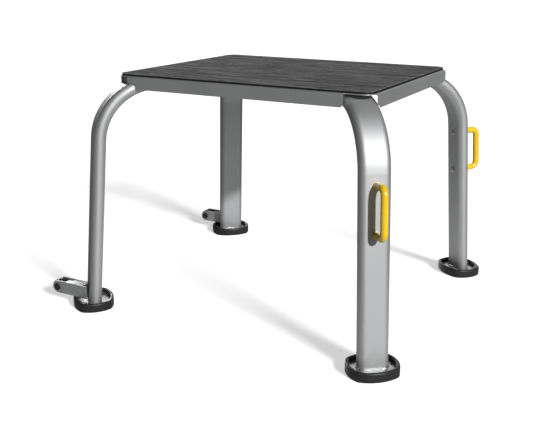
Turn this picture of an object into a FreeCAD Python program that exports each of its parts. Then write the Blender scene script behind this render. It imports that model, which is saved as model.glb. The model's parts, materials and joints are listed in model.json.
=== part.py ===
import FreeCAD, Part
import math
import os

# Mounting block: a tread deck carried on four splayed legs bent from flat-oval tube.
# Two legs carry a grab handle on their outer face, and the other two carry a transport wheel.
# Millimetres, +Z up. The origin is on the floor, under the middle of the overall box.
# The deck's long edge runs along X, with the wheels towards -X and the handles towards +X.

Vec = FreeCAD.Vector

# Deck: a ribbed tread mat on a folded sheet-steel tray
deck_height = 828.0          # floor to the top of the mat
mat_length = 920.0
mat_width = 750.0
mat_thickness = 8.0
mat_corner_radius = 34.0
mat_edge_radius = 1.5
tray_sheet = 3.0
tray_border = 2.0            # flat sheet that shows round the mat, up to the fold
tray_fold_radius = 9.0       # outside radius of the fold
tray_depth = 42.0            # overall height of the folded edge
long_fold_cut_right = 97.0   # how far short of the tray's corner each fold stops
long_fold_cut_left = 57.0
short_fold_cut = 40.0
fold_gap = 2.5               # round the leg tube, where a fold passes over it
fold_corner_radius = 11.0
notch_clearance = 0.01       # between a notch in a fold and the flat sheet above it

# Legs: flat-oval tube, a level run under the tray, one large bend and a splayed upright
foot_outreach_x = 80.0       # from the mat's edge to the middle of a foot
foot_outreach_y = 109.0
leg_plan_angle = 48.0        # plan direction of a leg, in degrees from the X axis
leg_splay = 5.0              # lean of the upright, in degrees from vertical
tube_width = 100.0
tube_depth = 44.0
tube_wall = 3.0
leg_bend_radius = 205.0      # to the tube's centreline

# Spine: box section under the middle of the tray, which the four level runs are welded to
spine_width = 80.0
spine_height = 50.0
spine_wall = 4.0
spine_overhang = 15.0        # past the outermost mitre

# Feet: a steel plate welded to the tube, in a moulded rubber boot with a raised rim
foot_margin_ends = 33.0      # from the tube's rounded edges to the ends of the boot
foot_margin_sides = 49.0     # from the tube's flat faces to the sides of the boot
foot_height = 32.0
foot_rim = 12.0
foot_sole = 10.0
foot_corner_radius = 26.0
foot_edge_radius = 3.5
foot_bow = 17.0              # how far each side bows out past its corners
plate_thickness = 8.0
plate_clearance = 0.3
anchor_margin = 12.5         # from the tube's rounded edge to the middle of a floor-anchor hole
anchor_hole_radius = 4.5

# Wheel forks: two plates welded to the outer face of a left leg
axle_reach = 132.0           # from the middle of the foot to the axle, along X
fork_foot_clearance = 2.0    # from the boot's rim up to the fork
fork_width = 46.0            # over both plates
fork_plate = 5.0
wheel_radius = 25.0
wheel_proud = 2.0            # how far the wheel stands out of the fork's rounded end
wheel_side_clearance = 1.0
tread_thickness = 7.0
tread_edge_radius = 2.4
sleeve_wall = 3.0
sleeve_running_clearance = 0.08
axle_radius = 5.0
axle_head_radius = 12.8
axle_head_height = 4.0
axle_head_edge_radius = 2.4
axle_nut_across_flats = 17.0
axle_nut_height = 8.0
axle_tail = 1.5              # thread that shows past the nut
washer_thickness = 2.0

# Grab handles: a bent steel rod with a moulded grip, bolted through a right leg
handle_drop = 105.0          # from the start of the leg's bend down to the middle of the handle
handle_spacing = 147.0       # between the two bolts
handle_standoff = 59.0       # from the tube's face to the middle of the bar
handle_core_radius = 8.5
grip_thickness = 3.0
handle_bend_radius = 21.0
handle_bolt_radius = 5.0
handle_bolt_depth = 26.0     # thread inside the rod
bolt_head_across_flats = 16.0
bolt_head_height = 6.4
washer_radius = 10.5

# Deck screws: countersunk through mat and tray into threaded inserts in the tubes
screw_setback = 35.0         # from the end of the leg's bend, inward along the level run
screw_radius = 4.0
screw_head_radius = 8.0
screw_head_height = 4.4
screw_sunk = 1.0             # head below the mat's surface
screw_length = 30.0
insert_wall = 1.5
insert_length = 16.0

bolt_clearance = 0.5         # radial, bolts and screws in plain holes
past_face = 1.0              # how far a cutting tool runs past the face that it opens
same_place = 1e-4            # two points nearer than this are one
far = 3000.0                 # longer than anything here, for half-space cuts

# Heights and places that follow from the sizes above
mat_bottom = deck_height - mat_thickness
tray_bottom = mat_bottom - tray_sheet
run_height = tray_bottom - tube_depth / 2.0
plate_bottom = foot_sole
plate_top = foot_sole + plate_thickness
plan = math.radians(leg_plan_angle)
splay = math.radians(leg_splay)
foot_x = mat_length / 2.0 + foot_outreach_x
foot_y = mat_width / 2.0 + foot_outreach_y
foot_length = tube_width + 2.0 * foot_margin_ends
foot_width = tube_depth + 2.0 * foot_margin_sides
anchor_offset = tube_width / 2.0 + anchor_margin
bend_height = run_height - leg_bend_radius
bend_reach = (leg_bend_radius + bend_height * math.sin(splay)) / math.cos(splay)
upright_length = (bend_height + leg_bend_radius * math.sin(splay)) / math.cos(splay)
sheet_half_x = mat_length / 2.0 + tray_border
sheet_half_y = mat_width / 2.0 + tray_border
spine_end = foot_x - (foot_y - spine_width / 2.0) / math.tan(plan)
spine_half_length = spine_end + tube_width / 2.0 / math.sin(plan) + spine_overhang
fork_offset = tube_depth / 2.0 * math.sin(plan)
fork_gap = fork_width - 2.0 * fork_plate
fork_height = 2.0 * (wheel_radius - wheel_proud)
axle_height = foot_height + fork_foot_clearance + fork_height / 2.0
wheel_half_width = fork_gap / 2.0 - wheel_side_clearance
sleeve_radius = axle_radius + sleeve_wall
handle_middle = upright_length - handle_drop
handle_low = handle_middle - handle_spacing / 2.0
handle_high = handle_middle + handle_spacing / 2.0
grip_radius = handle_core_radius + grip_thickness
insert_radius = screw_radius + insert_wall
screw_reach = bend_reach + screw_setback

legs = {
    "front_left": (-1, -1),
    "front_right": (1, -1),
    "back_left": (-1, 1),
    "back_right": (1, 1),
}


def box(x0, x1, y0, y1, z0, z1):
    return Part.makeBox(x1 - x0, y1 - y0, z1 - z0, Vec(x0, y0, z0))


def rod(radius, start, end):
    """A cylinder between two points."""
    axis = end.sub(start)
    return Part.makeCylinder(radius, axis.Length, start, axis)


def hexagon(across_flats, height, base, axis):
    """A hexagonal prism standing on base, along axis."""
    radius = across_flats / math.sqrt(3.0)
    corners = []
    for i in range(7):
        turn = math.radians(60.0 * i)
        corners.append(Vec(radius * math.cos(turn), radius * math.sin(turn), 0))
    prism = Part.Face(Part.makePolygon(corners)).extrude(Vec(0, 0, height))
    prism.Placement = FreeCAD.Placement(base, FreeCAD.Rotation(Vec(0, 0, 1), axis))
    return prism


def upright_edges(shape):
    """The edges of an upright prism that run straight up."""
    edges = []
    for edge in shape.Edges:
        first, last = edge.Vertexes[0].Point, edge.Vertexes[-1].Point
        if abs(first.x - last.x) < same_place and abs(first.y - last.y) < same_place:
            edges.append(edge)
    return edges


def edges_at(shape, height):
    """The edges of a shape that lie in one level plane."""
    edges = []
    for edge in shape.Edges:
        ends = edge.BoundBox
        if abs(ends.ZMin - height) < same_place and abs(ends.ZMax - height) < same_place:
            edges.append(edge)
    return edges


def arc(start, middle, end):
    return Part.Arc(start, middle, end).toShape()


def rounded_block(half_x, half_y, z0, z1, radius):
    block = box(-half_x, half_x, -half_y, half_y, z0, z1)
    return block.makeFillet(radius, upright_edges(block))


def in_leg(shape, name):
    """Move a shape from the leg's own frame, x outward and origin under the foot, to its corner."""
    side_x, side_y = legs[name]
    heading = math.degrees(math.atan2(side_y * math.sin(plan), side_x * math.cos(plan)))
    turn = FreeCAD.Rotation(Vec(0, 0, 1), heading)
    moved = shape.copy()
    moved.Placement = FreeCAD.Placement(Vec(side_x * foot_x, side_y * foot_y, 0), turn)
    return moved


def on_upright(along, outward):
    """A point of the leg's own frame: so far up the tube's centreline, and so far off it outward."""
    x = -along * math.sin(splay) + outward * math.cos(splay)
    z = along * math.cos(splay) + outward * math.sin(splay)
    return Vec(x, 0, z)


def oval_face(width, depth):
    """The tube's section, across Y and Z, centred on the origin."""
    half_flat = (width - depth) / 2.0
    radius = depth / 2.0
    edges = []
    for side in (1, -1):
        start = Vec(0, side * half_flat, side * radius)
        end = Vec(0, side * half_flat, -side * radius)
        edges.append(Part.makeLine(Vec(0, -side * half_flat, side * radius), start))
        edges.append(arc(start, Vec(0, side * (half_flat + radius), 0), end))
    return Part.Face(Part.Wire(edges))


def leg_solid(width, depth):
    """The leg as a solid bar: level run, bend and upright, cut level with the foot plate."""
    bend_centre = Vec(-bend_reach, 0, bend_height)
    section = oval_face(width, depth)
    section.translate(Vec(-bend_reach, 0, run_height))
    run = section.extrude(Vec(-foot_x - foot_y, 0, 0))
    bend = section.revolve(bend_centre, Vec(0, 1, 0), 90.0 - leg_splay)
    section.rotate(bend_centre, Vec(0, 1, 0), 90.0 - leg_splay)
    down = Vec(math.sin(splay), 0, -math.cos(splay))
    upright = section.extrude(down * deck_height)
    bar = run.fuse([bend, upright]).removeSplitter()
    return bar.cut(box(-far, far, -far, far, -far, plate_top))


def make_leg(name):
    """The hollow tube, mitred to the spine, with its holes."""
    side_x, side_y = legs[name]
    outer = leg_solid(tube_width, tube_depth)
    inner = leg_solid(tube_width - 2.0 * tube_wall, tube_depth - 2.0 * tube_wall)
    tube = outer.cut(inner)
    insert_hole = rod(insert_radius, Vec(-screw_reach, 0, run_height), Vec(-screw_reach, 0, deck_height))
    tube = tube.cut(insert_hole)
    if side_x > 0:
        for along in (handle_low, handle_high):
            ends = (on_upright(along, -tube_depth), on_upright(along, tube_depth))
            tube = tube.cut(rod(handle_bolt_radius + bolt_clearance, *ends))
    tube = in_leg(tube, name)
    past_spine = sorted((side_y * spine_width / 2.0, -side_y * far))
    past_middle = sorted((0.0, -side_x * far))
    tube = tube.cut(box(-far, far, *past_spine, -far, far))
    return tube.cut(box(*past_middle, -far, far, -far, far))


def make_spine():
    half_width = spine_width / 2.0
    top = tray_bottom
    outer = box(-spine_half_length, spine_half_length, -half_width, half_width, top - spine_height, top)
    inside = half_width - spine_wall
    hollow = box(-far, far, -inside, inside, top - spine_height + spine_wall, top - spine_wall)
    return outer.cut(hollow)


def fold(start, end, setback):
    """One folded edge of the tray, along X from start to end, folded at the given setback from the middle."""
    outer_radius = tray_fold_radius
    inner_radius = tray_fold_radius - tray_sheet
    centre_z = mat_bottom - outer_radius
    bottom = mat_bottom - tray_depth
    outer_y = -setback - outer_radius
    inner_y = -setback - inner_radius
    half = math.sqrt(0.5)
    outer_mid = Vec(start, -setback - outer_radius * half, centre_z + outer_radius * half)
    inner_mid = Vec(start, -setback - inner_radius * half, centre_z + inner_radius * half)
    section = Part.Face(Part.Wire([
        arc(Vec(start, -setback, mat_bottom), outer_mid, Vec(start, outer_y, centre_z)),
        Part.makeLine(Vec(start, outer_y, centre_z), Vec(start, outer_y, bottom)),
        Part.makeLine(Vec(start, outer_y, bottom), Vec(start, inner_y, bottom)),
        Part.makeLine(Vec(start, inner_y, bottom), Vec(start, inner_y, centre_z)),
        arc(Vec(start, inner_y, centre_z), inner_mid, Vec(start, -setback, tray_bottom)),
        Part.makeLine(Vec(start, -setback, tray_bottom), Vec(start, -setback, mat_bottom)),
    ]))
    strip = section.extrude(Vec(end - start, 0, 0))
    corners = [edge for edge in edges_at(strip, bottom) if edge.BoundBox.XLength < same_place]
    return strip.makeFillet(fold_corner_radius, corners)


def make_tray():
    """Flat sheet with four folded edges, notched where they pass over the legs."""
    tray = rounded_block(sheet_half_x, sheet_half_y, tray_bottom, mat_bottom, mat_corner_radius + tray_border)
    outer_x = sheet_half_x + tray_fold_radius
    outer_y = sheet_half_y + tray_fold_radius
    short_half = outer_y - short_fold_cut
    left_end = outer_x - long_fold_cut_left
    right_end = outer_x - long_fold_cut_right
    for turn, start, end, setback in (
        (0, -left_end, right_end, sheet_half_y),
        (90, -short_half, short_half, sheet_half_x),
        (180, -right_end, left_end, sheet_half_y),
        (270, -short_half, short_half, sheet_half_x),
    ):
        edge = fold(start, end, setback)
        edge.rotate(Vec(0, 0, 0), Vec(0, 0, 1), turn)
        tray = tray.fuse(edge)
    tray = tray.removeSplitter()
    room_for_leg = leg_solid(tube_width + 2.0 * fold_gap, tube_depth + 2.0 * fold_gap)
    for name, (side_x, side_y) in legs.items():
        own_x = sorted((0.0, side_x * far))
        own_y = sorted((0.0, side_y * far))
        own_corner = box(*own_x, *own_y, -far, tray_bottom - notch_clearance)
        tray = tray.cut(in_leg(room_for_leg, name).common(own_corner))
    for spot in screw_spots():
        hole = rod(screw_radius + bolt_clearance, Vec(spot.x, spot.y, 0), Vec(spot.x, spot.y, deck_height))
        tray = tray.cut(hole)
    return max(tray.Solids, key=lambda solid: solid.Volume)


def screw_spots():
    """Where the deck screws go, over the middle of each tube's level run."""
    spots = []
    for side_x, side_y in legs.values():
        x = foot_x - screw_reach * math.cos(plan)
        y = foot_y - screw_reach * math.sin(plan)
        spots.append(Vec(side_x * x, side_y * y, 0))
    return spots


def screw_body(spot, extra):
    """A countersunk screw, larger all over by extra."""
    head_top = deck_height - screw_sunk
    head_bottom = head_top - screw_head_height
    at = Vec(spot.x, spot.y, head_bottom)
    head = Part.makeCone(screw_radius + extra, screw_head_radius + extra, screw_head_height, at)
    shank = rod(screw_radius + extra, Vec(spot.x, spot.y, head_top - screw_length), at)
    return shank.fuse(head)


def make_mat():
    mat = rounded_block(mat_length / 2.0, mat_width / 2.0, mat_bottom, deck_height, mat_corner_radius)
    mat = mat.makeFillet(mat_edge_radius, edges_at(mat, deck_height))
    for spot in screw_spots():
        head_top = Vec(spot.x, spot.y, deck_height - screw_sunk)
        above = Vec(spot.x, spot.y, deck_height + past_face)
        recess = rod(screw_head_radius + bolt_clearance, head_top, above)
        mat = mat.cut(screw_body(spot, bolt_clearance).fuse(recess))
    return mat


def make_screws():
    return Part.makeCompound([screw_body(spot, 0.0).removeSplitter() for spot in screw_spots()])


def make_inserts():
    inserts = []
    for spot in screw_spots():
        top = Vec(spot.x, spot.y, tray_bottom)
        bottom = Vec(spot.x, spot.y, tray_bottom - insert_length)
        inserts.append(rod(insert_radius, bottom, top).cut(rod(screw_radius, bottom, top)))
    return Part.makeCompound(inserts)


def foot_outline(inset, z):
    """The boot's outline, four bowed sides, drawn in all round by inset; its length is along Y."""
    corner_x = foot_width / 2.0 - foot_bow
    corner_y = foot_length / 2.0 - foot_bow
    corners = [
        Vec(corner_x, -corner_y, z),
        Vec(corner_x, corner_y, z),
        Vec(-corner_x, corner_y, z),
        Vec(-corner_x, -corner_y, z),
    ]
    middles = [
        Vec(foot_width / 2.0, 0, z),
        Vec(0, foot_length / 2.0, z),
        Vec(-foot_width / 2.0, 0, z),
        Vec(0, -foot_length / 2.0, z),
    ]
    sides = [arc(corners[i], middles[i], corners[(i + 1) % 4]) for i in range(4)]
    outline = Part.Wire(sides)
    if inset > 0:
        outline = outline.makeOffset2D(-inset)
    return outline


def foot_block(inset, z0, z1):
    """An upright block on the boot's outline, with its corners rounded."""
    block = Part.Face(foot_outline(inset, z0)).extrude(Vec(0, 0, z1 - z0))
    radius = foot_corner_radius - min(inset, foot_rim)
    return block.makeFillet(radius, upright_edges(block))


def anchor_holes():
    holes = []
    for y in (-anchor_offset, anchor_offset):
        holes.append(rod(anchor_hole_radius, Vec(0, y, -past_face), Vec(0, y, foot_height)))
    return holes


def make_base_plate(name):
    plate = foot_block(foot_rim + plate_clearance, plate_bottom, plate_top)
    return in_leg(plate.cut(anchor_holes()), name)


def make_boot(name):
    """The rubber boot: sole, raised rim and a pocket that the base plate sits in."""
    boot = foot_block(0.0, 0.0, foot_height)
    boot = boot.makeFillet(foot_edge_radius, edges_at(boot, foot_height))
    pocket = foot_block(foot_rim, foot_sole, foot_height + past_face)
    return in_leg(boot.cut(pocket).cut(anchor_holes()), name)


def axle_centre(name):
    side_x, side_y = legs[name]
    return Vec(side_x * (foot_x + axle_reach), side_y * (foot_y + fork_offset), axle_height)


def make_fork_plates(name):
    """Two plates with rounded ends, butted against the tube's outer face."""
    centre = axle_centre(name)
    side_x = legs[name][0]
    upright = in_leg(leg_solid(tube_width, tube_depth), name)
    half_height = fork_height / 2.0
    plates = []
    for side in (-1, 1):
        middle = centre.y + side * (fork_width - fork_plate) / 2.0
        y0 = middle - fork_plate / 2.0
        y1 = middle + fork_plate / 2.0
        span = sorted((centre.x, side_x * foot_x))
        bar = box(span[0], span[1], y0, y1, axle_height - half_height, axle_height + half_height)
        nose = rod(half_height, Vec(centre.x, y0, centre.z), Vec(centre.x, y1, centre.z))
        hole_ends = (Vec(centre.x, y0 - past_face, centre.z), Vec(centre.x, y1 + past_face, centre.z))
        hole = rod(axle_radius + bolt_clearance, *hole_ends)
        plate = bar.fuse(nose).removeSplitter().cut(hole).cut(upright)
        plates.append(max(plate.Solids, key=lambda solid: solid.Volume))
    return plates


def along_axle(name, offset):
    """A point on the axle, measured from the middle of the fork."""
    return axle_centre(name).add(Vec(0, offset, 0))


def make_axle_bolt(name):
    head_seat = -fork_width / 2.0 - washer_thickness
    nut_end = fork_width / 2.0 + washer_thickness + axle_nut_height
    shank = rod(axle_radius, along_axle(name, head_seat), along_axle(name, nut_end + axle_tail))
    head = rod(axle_head_radius, along_axle(name, head_seat - axle_head_height), along_axle(name, head_seat))
    rim = [edge for edge in head.Edges if abs(edge.BoundBox.YMax - head.BoundBox.YMin) < same_place]
    head = head.makeFillet(axle_head_edge_radius, rim)
    return shank.fuse(head).removeSplitter()


def make_axle_nut(name):
    seat = fork_width / 2.0 + washer_thickness
    nut = hexagon(axle_nut_across_flats, axle_nut_height, along_axle(name, seat), Vec(0, 1, 0))
    return nut.cut(rod(axle_radius, along_axle(name, 0), along_axle(name, far)))


def make_axle_washers(name):
    washers = []
    for start in (-fork_width / 2.0 - washer_thickness, fork_width / 2.0):
        end = start + washer_thickness
        disc = rod(washer_radius, along_axle(name, start), along_axle(name, end))
        washers.append(disc.cut(rod(axle_radius, along_axle(name, start), along_axle(name, end))))
    return Part.makeCompound(washers)


def make_sleeve(name):
    """The bearing sleeve, clamped between the fork plates."""
    ends = (along_axle(name, -fork_gap / 2.0), along_axle(name, fork_gap / 2.0))
    return rod(sleeve_radius, *ends).cut(rod(axle_radius, *ends))


def make_wheel_core(name):
    ends = (along_axle(name, -wheel_half_width), along_axle(name, wheel_half_width))
    bore = sleeve_radius + sleeve_running_clearance
    return rod(wheel_radius - tread_thickness, *ends).cut(rod(bore, *ends))


def make_wheel_tread(name):
    ends = (along_axle(name, -wheel_half_width), along_axle(name, wheel_half_width))
    tyre = rod(wheel_radius, *ends)
    rims = [edge for edge in tyre.Edges if edge.BoundBox.YLength < same_place]
    tyre = tyre.makeFillet(tread_edge_radius, rims)
    return tyre.cut(rod(wheel_radius - tread_thickness, *ends))


def handle_solid(radius):
    """A round bar bent to a D: out from the tube, along it and back."""
    low = handle_low
    high = handle_high
    face = tube_depth / 2.0
    bar = face + handle_standoff
    bend = handle_bend_radius
    slack = bend * (1.0 - math.sqrt(0.5))
    low_corner = on_upright(low, bar - bend)
    high_corner = on_upright(high, bar - bend)
    path = Part.Wire([
        Part.makeLine(on_upright(low, face), low_corner),
        arc(low_corner, on_upright(low + slack, bar - slack), on_upright(low + bend, bar)),
        Part.makeLine(on_upright(low + bend, bar), on_upright(high - bend, bar)),
        arc(on_upright(high - bend, bar), on_upright(high - slack, bar - slack), high_corner),
        Part.makeLine(high_corner, on_upright(high, face)),
    ])
    outward = on_upright(0, 1)
    profile = Part.Wire(Part.makeCircle(radius, on_upright(low, face), outward))
    return path.makePipeShell([profile], True, False)


def make_handle_grip(name):
    return in_leg(handle_solid(grip_radius).cut(handle_solid(handle_core_radius)), name)


def make_handle_core(name):
    core = handle_solid(handle_core_radius)
    face = tube_depth / 2.0
    for along in (handle_low, handle_high):
        ends = (on_upright(along, face - past_face), on_upright(along, face + handle_bolt_depth))
        core = core.cut(rod(handle_bolt_radius, *ends))
    return in_leg(core, name)


def make_handle_bolts(name):
    """Hexagon bolts from the inner face of the leg, through both walls, into the handle's ends."""
    outward = on_upright(0, 1)
    seat = -tube_depth / 2.0 - washer_thickness
    tip = tube_depth / 2.0 + handle_bolt_depth
    bolts = []
    for along in (handle_low, handle_high):
        head_start = on_upright(along, seat - bolt_head_height)
        head = hexagon(bolt_head_across_flats, bolt_head_height, head_start, outward)
        shank = rod(handle_bolt_radius, on_upright(along, seat), on_upright(along, tip))
        bolts.append(head.fuse(shank).removeSplitter())
    return in_leg(Part.makeCompound(bolts), name)


def make_handle_washers(name):
    face = -tube_depth / 2.0
    washers = []
    for along in (handle_low, handle_high):
        ends = (on_upright(along, face - washer_thickness), on_upright(along, face))
        washers.append(rod(washer_radius, *ends).cut(rod(handle_bolt_radius, *ends)))
    return in_leg(Part.makeCompound(washers), name)


def make_all():
    parts = {
        "tread_mat": make_mat(),
        "deck_tray": make_tray(),
        "spine_beam": make_spine(),
        "deck_screws": make_screws(),
        "threaded_inserts": make_inserts(),
    }
    for name in legs:
        parts["leg_tube_" + name] = make_leg(name)
        parts["base_plate_" + name] = make_base_plate(name)
        parts["rubber_boot_" + name] = make_boot(name)
    for side in ("front", "back"):
        wheel_leg = side + "_left"
        near, away = make_fork_plates(wheel_leg)
        parts["fork_plate_" + side + "_a"] = near
        parts["fork_plate_" + side + "_b"] = away
        parts["axle_bolt_" + side] = make_axle_bolt(wheel_leg)
        parts["axle_nut_" + side] = make_axle_nut(wheel_leg)
        parts["axle_washers_" + side] = make_axle_washers(wheel_leg)
        parts["wheel_sleeve_" + side] = make_sleeve(wheel_leg)
        parts["wheel_core_" + side] = make_wheel_core(wheel_leg)
        parts["wheel_tread_" + side] = make_wheel_tread(wheel_leg)
        handle_leg = side + "_right"
        parts["handle_grip_" + side] = make_handle_grip(handle_leg)
        parts["handle_core_" + side] = make_handle_core(handle_leg)
        parts["handle_bolts_" + side] = make_handle_bolts(handle_leg)
        parts["handle_washers_" + side] = make_handle_washers(handle_leg)
    return parts


parts = make_all()

# The wheels make the block longer on one side, so everything moves until its box is centred on the origin.
lowest_x = min(shape.optimalBoundingBox(False).XMin for shape in parts.values())
highest_x = max(shape.optimalBoundingBox(False).XMax for shape in parts.values())
centring = Vec(-(lowest_x + highest_x) / 2.0, 0, 0)

os.makedirs("parts", exist_ok=True)
for node, shape in parts.items():
    placed = shape.copy()
    placed.translate(centring)
    placed.exportStep("parts/" + node + ".step")
    print(node, len(placed.Solids), "solids, volume", round(placed.Volume), "valid", placed.isValid())
print("deck's middle is at x =", round(centring.x, 3))
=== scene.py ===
# %% [markdown]
# # A mounting block
# A mounting block is a raised step that a rider stands on to reach the stirrup. This one is a
# ribbed deck on a folded steel tray, carried by four bent tube legs in rubber boots. Two legs
# carry a yellow grab handle, and the other two carry a small wheel for moving the block about.
# The engineering model arrives as a fixed frame, so this lesson adds only surfaces and finishes.

# %% Load the frame and keep its size
import json
import math

import bpy
from mathutils import Euler, Matrix, Vector, geometry
from mathutils.bvhtree import BVHTree

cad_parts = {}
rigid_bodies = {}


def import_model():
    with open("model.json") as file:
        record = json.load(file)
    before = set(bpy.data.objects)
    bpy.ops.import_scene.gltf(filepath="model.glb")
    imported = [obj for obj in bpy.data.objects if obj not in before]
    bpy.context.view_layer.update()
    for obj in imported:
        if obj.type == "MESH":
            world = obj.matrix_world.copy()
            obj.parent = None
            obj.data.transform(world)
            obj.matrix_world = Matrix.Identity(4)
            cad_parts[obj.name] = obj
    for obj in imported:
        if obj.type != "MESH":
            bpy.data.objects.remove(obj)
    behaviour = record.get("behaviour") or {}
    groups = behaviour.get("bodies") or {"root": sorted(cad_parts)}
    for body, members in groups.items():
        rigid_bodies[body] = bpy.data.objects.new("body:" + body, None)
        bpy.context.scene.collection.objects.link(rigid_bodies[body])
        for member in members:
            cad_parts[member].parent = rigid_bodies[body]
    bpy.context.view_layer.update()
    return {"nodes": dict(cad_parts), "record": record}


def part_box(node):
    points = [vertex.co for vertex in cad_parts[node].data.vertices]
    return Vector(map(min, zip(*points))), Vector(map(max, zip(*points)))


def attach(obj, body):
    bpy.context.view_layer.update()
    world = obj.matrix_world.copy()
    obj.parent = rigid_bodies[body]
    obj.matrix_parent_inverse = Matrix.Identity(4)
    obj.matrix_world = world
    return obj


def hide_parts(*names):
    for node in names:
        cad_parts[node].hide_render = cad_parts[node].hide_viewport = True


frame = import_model()
nodes = frame["nodes"]
record = frame["record"]
corners = ("front_left", "front_right", "back_left", "back_right")

# %% [markdown]
# ## Reading places from the frame
# Every new piece has to sit exactly where the engineering part is. Typing coordinates in would
# break as soon as a size changed, so four small helpers ask the loaded parts instead: all their
# points, the middle of their box, the points at one level, and the outline that those points make.

# %% Helpers that read the frame
SAME = 0.0004


def points_of(node):
    """Every corner of a part, in metres."""
    return [vertex.co.copy() for vertex in nodes[node].data.vertices]


def middle_of(node):
    low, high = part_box(node)
    return (low + high) / 2


def points_at(points, axis, value):
    """The points that lie within a hair of one value on an axis."""
    return [point for point in points if abs(point[axis] - value) < SAME]


def outline(points, first, second):
    """The outermost points, in order round the shape, seen along the third axis."""
    flat = [Vector((point[first], point[second])) for point in points]
    return [points[index] for index in geometry.convex_hull_2d(flat)]


deck_low, deck_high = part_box("tread_mat")
deck_middle = (deck_low + deck_high) / 2
print("the deck is", [round(side, 3) for side in deck_high - deck_low])

# %% [markdown]
# ## Which way each leg runs
# The legs spread diagonally. Each deck screw sits over the middle of a leg's level run, so the
# line from a foot to its own screw is the leg's direction in plan. The boot holes and the handle
# bolts take their direction from it.

# %% Find the foot, the screw and the direction of each leg
all_screw_points = points_of("deck_screws")
legs = {}
for corner in corners:
    foot = middle_of("rubber_boot_" + corner)
    own = []
    for point in all_screw_points:
        same_side_x = (point.x - deck_middle.x) * (foot.x - deck_middle.x) > 0
        same_side_y = (point.y - deck_middle.y) * (foot.y - deck_middle.y) > 0
        if same_side_x and same_side_y:
            own.append(point)
    screw = sum(own, Vector()) / len(own)
    outward = Vector((foot.x - screw.x, foot.y - screw.y, 0)).normalized()
    across = Vector((-outward.y, outward.x, 0))
    legs[corner] = {"foot": foot, "screw": screw, "outward": outward, "across": across}
    print(corner, "leg points", round(math.degrees(math.atan2(outward.y, outward.x))), "degrees")

# %% [markdown]
# ## Node helpers for the finishes
# A finish is a small tree of nodes. Most of them start from the same three things: the object's
# own coordinates in metres, a noise pattern, and a ramp that turns the pattern into a colour or
# a number. Writing these once keeps each finish short.

# %% Helpers for materials


def new_finish(name, colour, metallic, roughness):
    """A material with one Principled shader, whose fixed values are set on its own sockets."""
    material = bpy.data.materials.new(name)
    material.use_nodes = True
    shader = material.node_tree.nodes["Principled BSDF"]
    shader.inputs["Base Color"].default_value = (*colour, 1)
    shader.inputs["Metallic"].default_value = metallic
    shader.inputs["Roughness"].default_value = roughness
    return material, material.node_tree, shader


def add_node(tree, kind, inputs, **settings):
    """A node with its settings made, and each input linked or given a value."""
    node = tree.nodes.new(kind)
    for label, value in settings.items():
        setattr(node, label, value)
    for key, value in inputs.items():
        socket = node.inputs[key]
        if isinstance(value, bpy.types.NodeSocket):
            tree.links.new(value, socket)
        else:
            socket.default_value = value
    return node


def maths(tree, operation, first, second=0.0):
    node = add_node(tree, "ShaderNodeMath", {0: first, 1: second}, operation=operation)
    return node.outputs[0]


def object_point(tree, stretch=(1, 1, 1)):
    """The object's own coordinates, stretched along each axis."""
    own = tree.nodes.new("ShaderNodeTexCoord").outputs["Object"]
    mapping = add_node(tree, "ShaderNodeMapping", {"Vector": own, "Scale": stretch})
    return mapping.outputs["Vector"]


def noise(tree, scale, detail=2.0, roughness=0.5, stretch=(1, 1, 1)):
    pattern = {"Scale": scale, "Detail": detail, "Roughness": roughness}
    pattern["Vector"] = object_point(tree, stretch)
    return add_node(tree, "ShaderNodeTexNoise", pattern).outputs["Fac"]


def to_range(tree, value, low, high, new_low, new_high):
    """A number moved from one range to another, and kept inside it."""
    ends = {"From Min": low, "From Max": high, "To Min": new_low, "To Max": new_high}
    return add_node(tree, "ShaderNodeMapRange", {"Value": value, **ends}).outputs["Result"]


def mix_colour(tree, share, first, second):
    """A colour between two others; each may be a colour or another node's output."""
    inputs = {0: share}
    for index, colour in ((6, first), (7, second)):
        inputs[index] = (*colour, 1) if isinstance(colour, tuple) else colour
    return add_node(tree, "ShaderNodeMix", inputs, data_type="RGBA").outputs[2]


def height_above_floor(tree):
    return add_node(tree, "ShaderNodeSeparateXYZ", {0: object_point(tree)}).outputs["Z"]


def bump(tree, shader, height, strength, distance):
    shape = {"Height": height, "Strength": strength, "Distance": distance}
    node = add_node(tree, "ShaderNodeBump", shape)
    tree.links.new(node.outputs["Normal"], shader.inputs["Normal"])


print("material helpers ready")

# %% [markdown]
# ## Silver paint
# The tubes, the tray and the foot plates are powder coated in a metallic silver. Powder melts
# into a skin with a very fine orange peel, and its flakes make the tone sparkle slightly. Near
# the floor the coat picks up dust. A high metallic value gives the long soft reflections. The
# foot plates, which lie below the tubes, are smoother than the rest.

# %% Silver paint
silver_tone = (0.56, 0.565, 0.57)
silver_shade = (0.50, 0.505, 0.51)
floor_dust = (0.20, 0.197, 0.19)
dust_height = 0.10
plate_level = 0.019
tube_level = 0.026


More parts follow.
